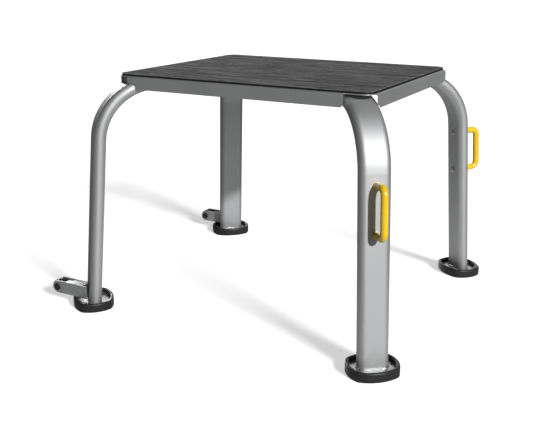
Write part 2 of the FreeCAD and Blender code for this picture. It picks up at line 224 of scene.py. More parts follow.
def make_silver_paint():
    material, tree, shader = new_finish("silver_paint", silver_tone, 0.88, 0.60)
    flakes = to_range(tree, noise(tree, 1500, 1.0), 0.35, 0.65, 0, 1)
    cloud = to_range(tree, noise(tree, 5, 3.0), 0.3, 0.7, 0, 1)
    shade = maths(tree, "MULTIPLY", flakes, cloud)
    tone = mix_colour(tree, shade, silver_tone, silver_shade)
    dust_patch = to_range(tree, noise(tree, 28, 4.0), 0.4, 0.75, 0, 0.5)
    near_floor = to_range(tree, height_above_floor(tree), 0, dust_height, 1, 0)
    dust = maths(tree, "MULTIPLY", dust_patch, near_floor)
    tree.links.new(mix_colour(tree, dust, tone, floor_dust), shader.inputs["Base Color"])
    handled = noise(tree, 9, 5.0, 0.6, (1, 1, 0.35))
    satin = to_range(tree, handled, 0.3, 0.8, 0.56, 0.66)
    plate_shine = to_range(tree, height_above_floor(tree), plate_level, tube_level, 0.5, 1)
    roughness = maths(tree, "MULTIPLY", satin, plate_shine)
    tree.links.new(roughness, shader.inputs["Roughness"])
    shader.inputs["Coat Weight"].default_value = 0.12
    shader.inputs["Coat Roughness"].default_value = 0.22
    bump(tree, shader, noise(tree, 260, 2.0), 0.06, 0.0004)
    return material


silver_paint = make_silver_paint()
print("made", silver_paint.name)

# %% [markdown]
# ## Tread rubber
# The deck's covering is black rubber. Boots and weather turn its top grey. Its sides are painted
# near-black, darker than the rubber itself, as painted shade for faces turned from the light; the
# change is laid on by height above the floor. Fine streaks run along the ribs, because dirt is
# dragged along them.

# %% Tread rubber
# The near-black side colour is painted shade: the sides are made darker than the rubber is.
rubber_side_shade = (0.0065, 0.0065, 0.007)
rubber_worn = (0.139, 0.140, 0.143)
rubber_streak = (0.108, 0.109, 0.111)
rubber_dust = (0.232, 0.233, 0.235)
rubber_dirt = (0.050, 0.050, 0.051)
side_shade_depth = 0.0022


def make_tread_rubber():
    material, tree, shader = new_finish("tread_rubber", rubber_worn, 0, 0.68)
    streaks = to_range(tree, noise(tree, 7, 5.0, 0.75, (1, 7, 1)), 0.40, 0.58, 0, 1)
    fine = to_range(tree, noise(tree, 30, 5.0, 0.7, (1, 5, 1)), 0.38, 0.60, 0, 1)
    dark = mix_colour(tree, fine, rubber_streak, rubber_dirt)
    light = mix_colour(tree, fine, rubber_dust, rubber_worn)
    worn = mix_colour(tree, streaks, light, dark)
    top = deck_high.z
    # Below the top edge the sides get the painted shade colour instead of the worn grey.
    on_top = to_range(tree, height_above_floor(tree), top - side_shade_depth, top - side_shade_depth / 2, 0, 1)
    tree.links.new(mix_colour(tree, on_top, rubber_side_shade, worn), shader.inputs["Base Color"])
    shader.inputs["Specular IOR Level"].default_value = 0.35
    bump(tree, shader, noise(tree, 700, 2.0), 0.25, 0.0003)
    return material


tread_rubber = make_tread_rubber()
print("made", tread_rubber.name)

# %% [markdown]
# ## Moulded black rubber and plastic
# The boots are satin moulded rubber, the wheels have a harder tyre on a nylon core. They share
# one recipe: a near-black colour that dust lightens in patches, and a fine grain left by the
# mould. A function with a few arguments makes all three.

# %% Moulded black finishes


def make_moulded(name, colour, dusty, roughness, grain_scale):
    material, tree, shader = new_finish(name, colour, 0, roughness)
    patches = to_range(tree, noise(tree, 35, 5.0, 0.6), 0.45, 0.8, 0, 0.6)
    tree.links.new(mix_colour(tree, patches, colour, dusty), shader.inputs["Base Color"])
    wear = to_range(tree, noise(tree, 90, 3.0), 0.3, 0.7, roughness - 0.07, roughness + 0.09)
    tree.links.new(wear, shader.inputs["Roughness"])
    bump(tree, shader, noise(tree, grain_scale, 2.0), 0.18, 0.0002)
    return material


boot_rubber = make_moulded("boot_rubber", (0.012, 0.012, 0.013), (0.035, 0.034, 0.032), 0.42, 900)
wheel_rubber = make_moulded("wheel_rubber", (0.010, 0.010, 0.011), (0.03, 0.03, 0.028), 0.5, 1200)
wheel_nylon = make_moulded("wheel_nylon", (0.03, 0.03, 0.032), (0.05, 0.05, 0.05), 0.36, 1600)
print("made", boot_rubber.name, wheel_rubber.name, wheel_nylon.name)

# %% [markdown]
# ## Yellow grip
# The handles wear a glossy moulded sleeve in safety yellow. The gloss is a clear, smooth coat
# over a slightly rougher body, and the pigment is a little deeper in patches.

# %% Yellow grip
grip_yellow = (1.0, 0.66, 0.022)
grip_amber = (0.90, 0.52, 0.012)


def make_yellow_grip():
    material, tree, shader = new_finish("yellow_grip", grip_yellow, 0, 0.3)
    pigment = to_range(tree, noise(tree, 24, 3.0), 0.35, 0.8, 0, 0.6)
    tree.links.new(mix_colour(tree, pigment, grip_yellow, grip_amber), shader.inputs["Base Color"])
    rubbed = to_range(tree, noise(tree, 60, 4.0), 0.3, 0.8, 0.24, 0.38)
    tree.links.new(rubbed, shader.inputs["Roughness"])
    shader.inputs["Coat Weight"].default_value = 0.6
    shader.inputs["Coat Roughness"].default_value = 0.09
    shader.inputs["Subsurface Weight"].default_value = 0.04
    bump(tree, shader, noise(tree, 140, 2.0), 0.04, 0.0004)
    return material


yellow_grip = make_yellow_grip()
print("made", yellow_grip.name)

# %% [markdown]
# ## Bare and blackened steel
# Fasteners are either bright zinc or black oxide. Both are true metals, so their colour is the
# colour of their reflection. Zinc has a faint crystal mottling, which a cell pattern gives.

# %% Bare and blackened steel
crystals_per_metre = 420


def make_steel(name, bright, dull, metallic, roughness):
    material, tree, shader = new_finish(name, bright, metallic, roughness)
    crystals = {"Vector": object_point(tree), "Scale": crystals_per_metre}
    cells = add_node(tree, "ShaderNodeTexVoronoi", crystals)
    split = add_node(tree, "ShaderNodeSeparateColor", {0: cells.outputs["Color"]})
    tree.links.new(mix_colour(tree, split.outputs[0], bright, dull), shader.inputs["Base Color"])
    worn = to_range(tree, noise(tree, 150, 3.0), 0.3, 0.7, roughness - 0.05, roughness + 0.08)
    tree.links.new(worn, shader.inputs["Roughness"])
    bump(tree, shader, noise(tree, 800, 2.0), 0.08, 0.0002)
    return material


zinc_steel = make_steel("zinc_steel", (0.80, 0.80, 0.79), (0.66, 0.66, 0.65), 1, 0.26)
black_steel = make_steel("black_steel", (0.016, 0.016, 0.017), (0.028, 0.028, 0.03), 0.35, 0.36)
print("made", zinc_steel.name, black_steel.name)

# %% [markdown]
# ## Giving the frame's own parts their finish
# Parts whose shape is already right stay, and only change their material. The record says which
# finish each part has, so the script looks it up there.

# %% Finish the carried-over parts
finishes = {
    "tread_rubber": tread_rubber,
    "silver_paint": silver_paint,
    "boot_rubber": boot_rubber,
    "yellow_grip": yellow_grip,
    "zinc_steel": zinc_steel,
    "black_steel": black_steel,
    "wheel_nylon": wheel_nylon,
    "wheel_rubber": wheel_rubber,
}
for part in record["subparts"]:
    slots = nodes[part["node"]].data.materials
    slots.clear()
    slots.append(finishes[part["material_slot"]])
print("finished", len(record["subparts"]), "parts")

# %% [markdown]
# ## Turning points into meshes
# New pieces are made from rings of points joined by faces. `loft` joins one ring to the next and
# closes both ends, which suits anything with a constant number of points round it: a boot, a
# bolt, a wheel. The normals are recalculated at the end, so that faces look outwards.

# %% Mesh helpers
import bmesh

SMOOTH_UNDER = math.radians(38)


def finish_mesh(name, mesh, material):
    """Closes, turns outwards and smooths a mesh, and gives it an object at the origin."""
    work = bmesh.new()
    work.from_mesh(mesh)
    bmesh.ops.remove_doubles(work, verts=work.verts, dist=0.000005)
    bmesh.ops.recalc_face_normals(work, faces=work.faces)
    work.to_mesh(mesh)
    work.free()
    mesh.shade_smooth()
    mesh.set_sharp_from_angle(angle=SMOOTH_UNDER)
    mesh.materials.clear()
    mesh.materials.append(material)
    piece = bpy.data.objects.new(name, mesh)
    bpy.context.scene.collection.objects.link(piece)
    return piece


def loft(name, rings, material, closed=False):
    """A skin over rings of points, joined end to end, or with its first and last ring filled."""
    count = len(rings[0])
    points = [point for ring in rings for point in ring]
    faces = []
    joined = list(range(len(rings))) + ([0] if closed else [])
    for lower, upper in zip(joined, joined[1:]):
        for i in range(count):
            j = (i + 1) % count
            a, b = lower * count, upper * count
            faces.append((a + i, a + j, b + j, b + i))
    if not closed:
        faces.append(tuple(range(count)))
        faces.append(tuple(range(len(points) - count, len(points))))
    mesh = bpy.data.meshes.new(name)
    mesh.from_pydata(points, [], faces)
    return finish_mesh(name, mesh, material)


def settle(piece, slot, *replaced, body="root"):
    """Attaches a finished piece to its body and hides the parts that it replaces."""
    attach(piece, body)
    if replaced:
        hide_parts(*replaced)
    print(piece.name, len(piece.data.polygons), "faces")


def bake_modifiers(piece):
    """Replaces a piece's mesh by what its modifiers make of it, and removes them."""
    bpy.context.view_layer.update()
    graph = bpy.context.evaluated_depsgraph_get()
    made = bpy.data.meshes.new_from_object(piece.evaluated_get(graph))
    piece.modifiers.clear()
    old = piece.data
    piece.data = made
    bpy.data.meshes.remove(old)
    return piece


print("mesh helpers ready")

# %% [markdown]
# ## The tread mat, as a plain slab
# The mat is one slab with rounded corners. Its top will carry fine ribs along the deck, so the
# slab is made of many narrow strips across the deck, each as long as the outline is there. The
# distance to the outline gives the small rounding of the top edge.

# %% Make the slab
mat_corner = 0.034
mat_edge = 0.0015
strip = 0.00075
end_steps = (0, 0.0004, 0.0009, 0.0015, 0.006, 0.0075)
mat_half_x = (deck_high.x - deck_low.x) / 2
mat_half_y = (deck_high.y - deck_low.y) / 2


def half_length_at(y):
    """How far the mat reaches along X at a given Y, both from its middle."""
    into_corner = abs(y) - (mat_half_y - mat_corner)
    if into_corner <= 0:
        return mat_half_x
    return mat_half_x - mat_corner + math.sqrt(max(0, mat_corner**2 - into_corner**2))


def inside_by(x, y):
    """How far a point is inside the mat's outline."""
    over_x = abs(x) - (mat_half_x - mat_corner)
    over_y = abs(y) - (mat_half_y - mat_corner)
    past = math.hypot(max(over_x, 0), max(over_y, 0)) + min(max(over_x, over_y), 0)
    return mat_corner - past


def edge_drop(inside):
    if inside >= mat_edge:
        return 0
    return mat_edge - math.sqrt(max(0, mat_edge**2 - (mat_edge - inside) ** 2))


def slab_rows():
    """Rows of points on the mat's top, one row for each strip edge."""
    steps = round(2 * mat_half_y / strip)
    rows = []
    for i in range(steps + 1):
        y = -mat_half_y + 2 * mat_half_y * i / steps
        reach = half_length_at(y)
        columns = [-reach + step for step in end_steps]
        columns += [reach - step for step in reversed(end_steps)]
        row = []
        for x in columns:
            z = deck_high.z - edge_drop(inside_by(x, y))
            row.append((deck_middle.x + x, deck_middle.y + y, z))
        rows.append(row)
    return rows


def make_slab():
    rows = slab_rows()
    across = len(rows[0])
    points = [point for row in rows for point in row]
    faces = []
    for i in range(len(rows) - 1):
        for j in range(across - 1):
            a = i * across + j
            faces.append((a, a + 1, a + 1 + across, a + across))
    rim = list(range(across))
    rim += [i * across + across - 1 for i in range(1, len(rows))]
    rim += [(len(rows) - 1) * across + j for j in range(across - 2, -1, -1)]
    rim += [i * across for i in range(len(rows) - 2, 0, -1)]
    first_low = len(points)
    points += [(points[i][0], points[i][1], deck_low.z) for i in rim]
    for k, top in enumerate(rim):
        n = (k + 1) % len(rim)
        faces.append((top, rim[n], first_low + n, first_low + k))
    faces.append(tuple(range(first_low, len(points))))
    mesh = bpy.data.meshes.new("tread_mat_ribbed")
    mesh.from_pydata(points, [], faces)
    return finish_mesh("tread_mat_ribbed", mesh, tread_rubber)


tread = make_slab()
print("the slab has", len(tread.data.vertices), "points")

# %% [markdown]
# ## Ribs and joints in the tread
# The ribs repeat every few millimetres, and wider joints divide the covering into boards. This is
# a rule, not a drawing, so Geometry Nodes do it: each point of the top sinks by a wave of its
# place across the deck. The tree has named inputs, and they are set by each socket's identifier.

# %% Helpers for Geometry Nodes


def new_tree(name, numbers):
    """A Geometry Nodes tree with a geometry in and out, and one named input for each number."""
    tree = bpy.data.node_groups.new(name, "GeometryNodeTree")
    tree.interface.new_socket("Geometry", in_out="INPUT", socket_type="NodeSocketGeometry")
    tree.interface.new_socket("Geometry", in_out="OUTPUT", socket_type="NodeSocketGeometry")
    for label, value in numbers.items():
        kind = "NodeSocketInt" if isinstance(value, int) else "NodeSocketFloat"
        socket = tree.interface.new_socket(label, in_out="INPUT", socket_type=kind)
        socket.default_value = value
    given = tree.nodes.new("NodeGroupInput")
    return tree, given.outputs


def end_tree(tree, result, material):
    """The same ending for every tree: real meshes instead of copies, and a material."""
    real = add_node(tree, "GeometryNodeRealizeInstances", {"Geometry": result})
    painted = add_node(
        tree, "GeometryNodeSetMaterial", {"Geometry": real.outputs[0], "Material": material}
    )
    leave = tree.nodes.new("NodeGroupOutput")
    tree.links.new(painted.outputs[0], leave.inputs[0])


def run_tree(piece, tree, numbers):
    """Runs a tree on a piece with the given numbers, and keeps only the resulting mesh."""
    modifier = piece.modifiers.new(tree.name, "NODES")
    modifier.node_group = tree
    for item in tree.interface.items_tree:
        if item.in_out == "INPUT" and item.name in numbers:
            modifier[item.identifier] = numbers[item.name]
    piece.update_tag()
    return bake_modifiers(piece)


print("tree helpers ready")

# %% Build the tree for the ribs
rib_numbers = {
    "Middle X": deck_middle.x,
    "Half length": mat_half_x,
    "Border": 0.006,
    "Rib pitch": 0.006,
    "Rib depth": 0.0010,
    "Joint pitch": 0.280,
    "Joint place": 0.035,
    "Joint half width": 0.011,
    "Joint depth": 0.0036,
    "Top": deck_high.z,
}


def make_rib_tree():
    tree, given = new_tree("Tread ribs", rib_numbers)
    position = tree.nodes.new("GeometryNodeInputPosition").outputs[0]
    split = add_node(tree, "ShaderNodeSeparateXYZ", {0: position})
    x, y, z = split.outputs
    turns = maths(tree, "DIVIDE", y, given["Rib pitch"])
    wave = maths(tree, "COSINE", maths(tree, "MULTIPLY", turns, 2 * math.pi))
    low_between = maths(tree, "MULTIPLY_ADD", wave, -0.5)
    low_between.node.inputs[2].default_value = 0.5
    sink = maths(tree, "MULTIPLY", low_between, given["Rib depth"])
    from_joint = maths(tree, "SUBTRACT", y, given["Joint place"])
    nearest = maths(tree, "PINGPONG", from_joint, maths(tree, "DIVIDE", given["Joint pitch"], 2.0))
    in_joint = maths(tree, "DIVIDE", nearest, given["Joint half width"])
    bowl = maths(tree, "MAXIMUM", maths(tree, "SUBTRACT", 1.0, in_joint), 0.0)
    joint = maths(tree, "MULTIPLY", bowl, given["Joint depth"])
    sink = maths(tree, "MAXIMUM", sink, joint)
    from_middle = maths(tree, "ABSOLUTE", maths(tree, "SUBTRACT", x, given["Middle X"]))
    clear = maths(tree, "SUBTRACT", given["Half length"], given["Border"])
    in_field = maths(tree, "LESS_THAN", from_middle, clear)
    on_top = maths(tree, "GREATER_THAN", z, maths(tree, "SUBTRACT", given["Top"], 0.0001))
    sink = maths(tree, "MULTIPLY", sink, maths(tree, "MULTIPLY", in_field, on_top))
    down = add_node(tree, "ShaderNodeCombineXYZ", {2: maths(tree, "MULTIPLY", sink, -1.0)})
    moved = add_node(
        tree, "GeometryNodeSetPosition", {"Geometry": given["Geometry"], "Offset": down.outputs[0]}
    )
    end_tree(tree, moved.outputs[0], tread_rubber)
    return tree


tread = run_tree(tread, make_rib_tree(), rib_numbers)
settle(tread, "tread_rubber", "tread_mat")
print("ribs every", rib_numbers["Rib pitch"] * 1000, "mm")

# %% [markdown]
# ## Rubber boots
# Each foot plate sits in a moulded rubber boot with a raised rim. The outline comes straight
# from the engineering part, and rings drawn in from it by a few millimetres at each height make
# the profile: a chamfered sole, two grooves round the side, a rolled rim and the pocket.

# %% Make the boots
boot_profile = (
    (0.012, 0.0100),
    (0.012, 0.0285),
    (0.0112, 0.0304),
    (0.0096, 0.0317),
    (0.0078, 0.0320),
    (0.0040, 0.0320),
    (0.0022, 0.0315),
    (0.0008, 0.0303),
    (0.0001, 0.0285),
    (0.0, 0.0230),
    (0.0005, 0.0224),
    (0.0014, 0.0220),
    (0.0014, 0.0206),
    (0.0005, 0.0202),
    (0.0, 0.0196),
    (0.0, 0.0122),
    (0.0005, 0.0116),
    (0.0014, 0.0112),
    (0.0014, 0.0098),
    (0.0005, 0.0094),
    (0.0, 0.0088),
    (0.0, 0.0028),
    (0.0012, 0.0008),
    (0.0032, 0.0),
)
boot_points = 160
hole_points = 24
drill_overrun = 0.01


def evenly_round(path, count):
    """The same closed path, with its points evenly spaced."""
    lengths = [(path[(i + 1) % len(path)] - path[i]).length for i in range(len(path))]
    spacing = sum(lengths) / count
    spots = []
    i = 0
    passed = 0.0
    for k in range(count):
        while passed + lengths[i] < k * spacing - 1e-12:
            passed += lengths[i]
            i += 1
        share = (k * spacing - passed) / lengths[i]
        spots.append(path[i].lerp(path[(i + 1) % len(path)], share))
    return spots


def drawn_in(path, inset):
    """A flat closed path drawn in towards its inside by a distance."""
    middle = sum(path, Vector()) / len(path)
    moved = []
    for i, point in enumerate(path):
        along = path[(i + 1) % len(path)] - path[i - 1]
        side = Vector((-along.y, along.x, 0)).normalized()
        if side.dot(middle - point) < 0:
            side.negate()
        moved.append(point + side * inset)
    return moved


def cut_holes(piece, centres, radius, low, high):
    """Drills straight holes down through a piece."""
    for centre in centres:
        rings = []
        for z in (low, high):
            ring = []
            for k in range(hole_points):
                turn = 2 * math.pi * k / hole_points
                across = Vector((math.cos(turn), math.sin(turn), 0)) * radius
                ring.append(Vector((centre.x, centre.y, z)) + across)
            rings.append(ring)
        drill = loft("drill", rings, piece.data.materials[0])
        cut = piece.modifiers.new("hole", "BOOLEAN")
        cut.object = drill
        cut.solver = "EXACT"
        bake_modifiers(piece)
        bpy.data.objects.remove(drill)
    piece.data.shade_smooth()
    piece.data.set_sharp_from_angle(angle=SMOOTH_UNDER)


def make_boot(corner):
    node = "rubber_boot_" + corner
    low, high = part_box(node)
    side = [point for point in points_of(node) if point.z < high.z - SAME]
    flat = [Vector((point.x, point.y, 0)) for point in outline(side, 0, 1)]
    around = evenly_round(flat, boot_points)
    rings = []
    for inset, height in boot_profile:
        rings.append([point + Vector((0, 0, low.z + height)) for point in drawn_in(around, inset)])
    boot = loft("boot_" + corner, rings, boot_rubber)
    mount = next(m for m in record["mounts"] if m["name"] == "floor_anchor_" + corner)
    reach = mount["dims"]["pcd_mm"] / 2000
    foot = legs[corner]["foot"]
    centres = [foot + legs[corner]["across"] * reach * way for way in (-1, 1)]
    hole_radius = mount["dims"]["hole_r_mm"] / 1000
    cut_holes(boot, centres, hole_radius, low.z - drill_overrun, high.z + drill_overrun)
    settle(boot, "boot_rubber", node)


for corner in corners:
    make_boot(corner)

# %% [markdown]
# ## Weld beads
# Tubes, plates and forks are welded, and a weld is a row of small overlapping ripples that
# follows a seam. It is a path with a rule, so one Geometry Nodes tree makes every bead: it
# spaces points evenly along the seam and sweeps a circle whose radius swells at each ripple. A
# fixed seed keeps the slight unevenness the same each time.

# %% Build the weld tree
weld_numbers = {
    "Bead radius": 0.0032,
    "Ripple pitch": 0.0030,
    "Ripple share": 0.16,
    "Unevenness": 0.10,
    "Seed": 7.0,
}


def make_weld_tree():
    tree, given = new_tree("Weld bead", weld_numbers)
    seam = add_node(tree, "GeometryNodeMeshToCurve", {0: given["Geometry"]})
    step = maths(tree, "DIVIDE", given["Ripple pitch"], 6.0)
    spaced = add_node(
        tree, "GeometryNodeResampleCurve", {"Curve": seam.outputs[0], "Length": step}, mode="LENGTH"
    )
    along = tree.nodes.new("GeometryNodeSplineParameter").outputs["Length"]
    ripple = maths(tree, "FRACT", maths(tree, "DIVIDE", along, given["Ripple pitch"]))
    swell = maths(tree, "MULTIPLY", maths(tree, "SUBTRACT", ripple, 0.5), given["Ripple share"])
    position = tree.nodes.new("GeometryNodeInputPosition").outputs[0]
    rough = add_node(
        tree,
        "ShaderNodeTexNoise",
        {"Vector": position, "W": given["Seed"], "Scale": 90.0, "Detail": 2.0},
        noise_dimensions="4D",
    )
    off_middle = maths(tree, "SUBTRACT", rough.outputs[0], 0.5)
    wander = maths(tree, "MULTIPLY", off_middle, given["Unevenness"])
    size = maths(tree, "ADD", 1.0, maths(tree, "ADD", swell, wander))
    circle = add_node(
        tree, "GeometryNodeCurvePrimitiveCircle", {"Resolution": 10, "Radius": given["Bead radius"]}
    )
    swept = add_node(
        tree,
        "GeometryNodeCurveToMesh",
        {
            "Curve": spaced.outputs[0],
            "Profile Curve": circle.outputs[0],
            "Fill Caps": True,
            "Scale": size,
        },
    )
    end_tree(tree, swept.outputs[0], silver_paint)
    return tree


weld_tree = make_weld_tree()
print("the weld tree has", len(weld_tree.nodes), "nodes")


def weld(name, seams, **changes):
    """Beads along one or more seams, each a list of points and whether it closes on itself."""
    points = []
    edges = []
    for path, closed in seams:
        first = len(points)
        points += path
        edges += [(first + i, first + i + 1) for i in range(len(path) - 1)]
        if closed:
            edges.append((len(points) - 1, first))
    mesh = bpy.data.meshes.new(name)
    mesh.from_pydata(points, edges, [])
    piece = bpy.data.objects.new(name, mesh)
    bpy.context.scene.collection.objects.link(piece)
    run_tree(piece, weld_tree, {**weld_numbers, **changes})
    piece.data.shade_smooth()
    settle(piece, "silver_paint")


# %% [markdown]
# ### The seams at the feet, the forks and the spine
# Each tube stands on its foot plate, so the outline of the tube's lowest points is the seam. A
# fork plate ends against the tube, so its two end corners give a short seam on each side. At the
# spine, the mitred end of each tube gives a seam round the tube.

# %% Weld the feet
for corner in corners:
    tube_points = points_of("leg_tube_" + corner)
    plate_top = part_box("base_plate_" + corner)[1].z
    lowest = points_at(tube_points, 2, plate_top)
    seam = [point.copy() for point in outline(lowest, 0, 1)]
    weld("weld_foot_" + corner, [(evenly_round(seam, 90), True)])

# %% Weld the forks
seam_reach = 0.004
graph = bpy.context.evaluated_depsgraph_get()
for side in ("front", "back"):
    tube = BVHTree.FromObject(nodes["leg_tube_" + side + "_left"], graph)
    seams = []
    for plate in ("a", "b"):
        node = "fork_plate_" + side + "_" + plate
        low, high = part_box(node)
        for face_y in (low.y, high.y):
            on_face = points_at(points_of(node), 1, face_y)
            bottom = max(points_at(on_face, 2, low.z), key=lambda point: point.x)
            top = max(points_at(on_face, 2, high.z), key=lambda point: point.x)
            if tube.find_nearest((bottom + top) / 2)[3] < seam_reach:
                seams.append(([bottom, top], False))
    print(side, "fork:", len(seams), "seams touch the tube")
    weld("weld_fork_" + side, seams, **{"Bead radius": 0.0022, "Ripple pitch": 0.0020})

# %% Weld the tubes to the spine
spine_low, spine_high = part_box("spine_beam")
for corner in corners:
    face_y = spine_high.y if legs[corner]["foot"].y > 0 else spine_low.y
    end_points = points_at(points_of("leg_tube_" + corner), 1, face_y)
    seam = [point.copy() for point in outline(end_points, 0, 2)]
    weld("weld_spine_" + corner, [(evenly_round(seam, 110), True)])

# %% [markdown]
# ## Fasteners
# Screws and bolts are turned parts, so they are made by turning a profile round the Z axis. A
# profile starts and ends a hair off the axis, so that its end faces stay whole polygons. The
# hexagons are part of the same idea: at each angle the radius of a hexagon is known, and a cone
# cut into it gives the curved chamfer that a real bolt head has.

# %% Turn a profile round an axis
turn_steps = 48
on_axis = 0.0004


def turned(name, rings, material):
    """A piece turned round Z. Each ring gives its radius and height as functions of the angle."""
    skins = []
    for radius, height in rings:
        ring = []
        for k in range(turn_steps):
            angle = 2 * math.pi * k / turn_steps
            r = radius(angle) if callable(radius) else radius
            z = height(angle) if callable(height) else height
            ring.append(Vector((r * math.cos(angle), r * math.sin(angle), z)))
        skins.append(ring)
    return loft(name, skins, material)


def hexagon(across_flats):
    """The radius of a hexagon at any angle."""
    def radius(angle):
        off_flat = (angle + math.pi / 6) % (math.pi / 3) - math.pi / 6
        return across_flats / 2 / math.cos(off_flat)
    return radius


def thread(radius, low, high, pitch):
    """Rings of a plain thread between two heights."""
    rings = []
    count = int((high - low) / pitch)
    for k in range(count):
        base = low + (high - low) * k / count
        rings.append((radius * 0.93, base))
        rings.append((radius, base + pitch / 2))
    return rings


print("turning helper ready")

# %% [markdown]
# ### Placing fasteners with Geometry Nodes
# The same fastener appears at several spots. A tree copies it onto points, turns it to the
# direction that each point carries, and spins it by a random angle, as a fitter leaves it.

# %% Build the tree that places fasteners
place_numbers = {"Size": 1.0, "Spin": 1.0, "Seed": 3}


def make_place_tree(name, fastener, material):
    tree, given = new_tree(name, place_numbers)
    shape = add_node(tree, "GeometryNodeObjectInfo", {"Object": fastener})
    facing = add_node(
        tree, "GeometryNodeInputNamedAttribute", {"Name": "facing"}, data_type="FLOAT_VECTOR"
    )
    aimed = add_node(
        tree, "FunctionNodeAlignRotationToVector", {"Vector": facing.outputs[0]}, axis="Z"
    )
    chance = add_node(
        tree,
        "FunctionNodeRandomValue",
        {2: 0.0, 3: math.tau, "Seed": given["Seed"]},
        data_type="FLOAT",
    )
    spin = maths(tree, "MULTIPLY", chance.outputs[1], given["Spin"])
    about_z = add_node(tree, "ShaderNodeCombineXYZ", {2: spin})
    copies = add_node(
        tree,
        "GeometryNodeInstanceOnPoints",
        {
            "Points": given["Geometry"],
            "Instance": shape.outputs["Geometry"],
            "Rotation": aimed.outputs[0],
            "Scale": given["Size"],
        },
    )
    spun = add_node(
        tree,
        "GeometryNodeRotateInstances",
        {"Instances": copies.outputs[0], "Rotation": about_z.outputs[0]},
    )
    end_tree(tree, spun.outputs[0], material)
    return tree


def place(name, fastener, spots, slot, replaced):
    """Copies of a fastener at each spot, a point and the way it faces, as one piece."""
    mesh = bpy.data.meshes.new(name)
    mesh.from_pydata([point for point, _ in spots], [], [])
    attribute = mesh.attributes.new("facing", "FLOAT_VECTOR", "POINT")
    for item, (_, way) in zip(attribute.data, spots):
        item.vector = way
    piece = bpy.data.objects.new(name, mesh)
    bpy.context.scene.collection.objects.link(piece)
    material = finishes[slot]
    run_tree(piece, make_place_tree("Place " + name, fastener, material), place_numbers)
    bpy.data.objects.remove(fastener)
    settle(piece, slot, *replaced)


print("placing helper ready")

# %% [markdown]
# ### Deck screws
# Four countersunk screws with a hexagon socket hold the mat and the tray to the tubes. The head
# is flush with its recess, so only its ring and its socket show.

# %% Make the deck screws
screw_low, screw_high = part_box("deck_screws")
head_radius = 0.008
shank_radius = 0.004
cone_height = 0.0044
socket_flats = 0.005
socket_depth = 0.0026


def make_screw():
    length = screw_high.z - screw_low.z
    rings = [
        (on_axis, -length),
        (shank_radius * 0.6, -length),
        (shank_radius * 0.93, -length + 0.001),
    ]
    rings += thread(shank_radius, -length + 0.0015, -cone_height - 0.001, 0.00125)
    rings += [
        (shank_radius, -cone_height),
        (head_radius - 0.0001, -0.0005),
        (head_radius, -0.0003),
        (head_radius - 0.0003, 0),
        (hexagon(socket_flats + 0.0008), 0),
        (hexagon(socket_flats), -0.0004),
        (hexagon(socket_flats), -socket_depth),
        (on_axis, -socket_depth - 0.0008),
    ]
    return turned("deck_screw", rings, zinc_steel)


spots = []
for corner in corners:
    screw = legs[corner]["screw"]
    spots.append((Vector((screw.x, screw.y, screw_high.z)), Vector((0, 0, 1))))
place("deck_screws_detailed", make_screw(), spots, "zinc_steel", ["deck_screws"])

# %% [markdown]
# ### Handle bolts
# Each handle is held by two hexagon bolts from the inner face of its leg. Their places and their
# direction come from the washers: each washer's middle is on the bolt's axis.

# %% Make the handle bolts
bolt_flats = 0.016
bolt_head = 0.0064
bolt_shank = 0.005
chamfer_slope = math.tan(math.radians(30))
face_radius = bolt_flats / 2 * 0.94


def halves(points, axis):
    """Points split into a lower and an upper group along an axis."""
    middle = (min(p[axis] for p in points) + max(p[axis] for p in points)) / 2
    return [p for p in points if p[axis] < middle], [p for p in points if p[axis] >= middle]


def box_middle(points):
    low = Vector([min(p[i] for p in points) for i in range(3)])
    high = Vector([max(p[i] for p in points) for i in range(3)])
    return (low + high) / 2


def make_bolt(length):
    corner_radius = hexagon(bolt_flats)

    def chamfer(angle):
        return bolt_head - (corner_radius(angle) - face_radius) * chamfer_slope

    rings = [
        (on_axis, -length),
        (bolt_shank * 0.7, -length),
        (bolt_shank * 0.93, -length + 0.0012),
    ]
    rings += thread(bolt_shank, -length + 0.0015, -0.012, 0.0015)
    rings += [
        (bolt_shank, -0.0115),
        (bolt_shank, 0.0),
        (bolt_flats / 2 * 0.95, 0.0),
        (bolt_flats / 2 * 0.95, 0.0004),
        (corner_radius, 0.0004),
        (corner_radius, chamfer),
        (face_radius, bolt_head),
        (face_radius * 0.55, bolt_head - 0.0003),
        (on_axis, bolt_head - 0.0003),
    ]
    return turned("handle_bolt", rings, zinc_steel)


for side in ("front", "back"):
    corner = side + "_right"
    washers = [box_middle(group) for group in halves(points_of("handle_washers_" + side), 2)]
    up_leg = (washers[1] - washers[0]).normalized()
    facing = -(legs[corner]["across"].cross(up_leg))
    if facing.dot(legs[corner]["outward"]) > 0:
        facing.negate()
    reach = [facing.dot(point) for point in points_of("handle_bolts_" + side)]
    length = max(reach) - min(reach) - bolt_head
    seat = max(reach) - bolt_head
    spots = [(washer + facing * (seat - facing.dot(washer)), facing) for washer in washers]
    bolt = make_bolt(length)
    place("handle_bolts_detailed_" + side, bolt, spots, "zinc_steel", ["handle_bolts_" + side])

# %% [markdown]
# ### Axle caps
# The axle's head is a domed black cap with a shallow ring in its face. The nut on the far side
# keeps its own shape.

# %% Make the axle bolts
cap_groove = 0.0005
cap_height = 0.004
axle_shank = 0.005


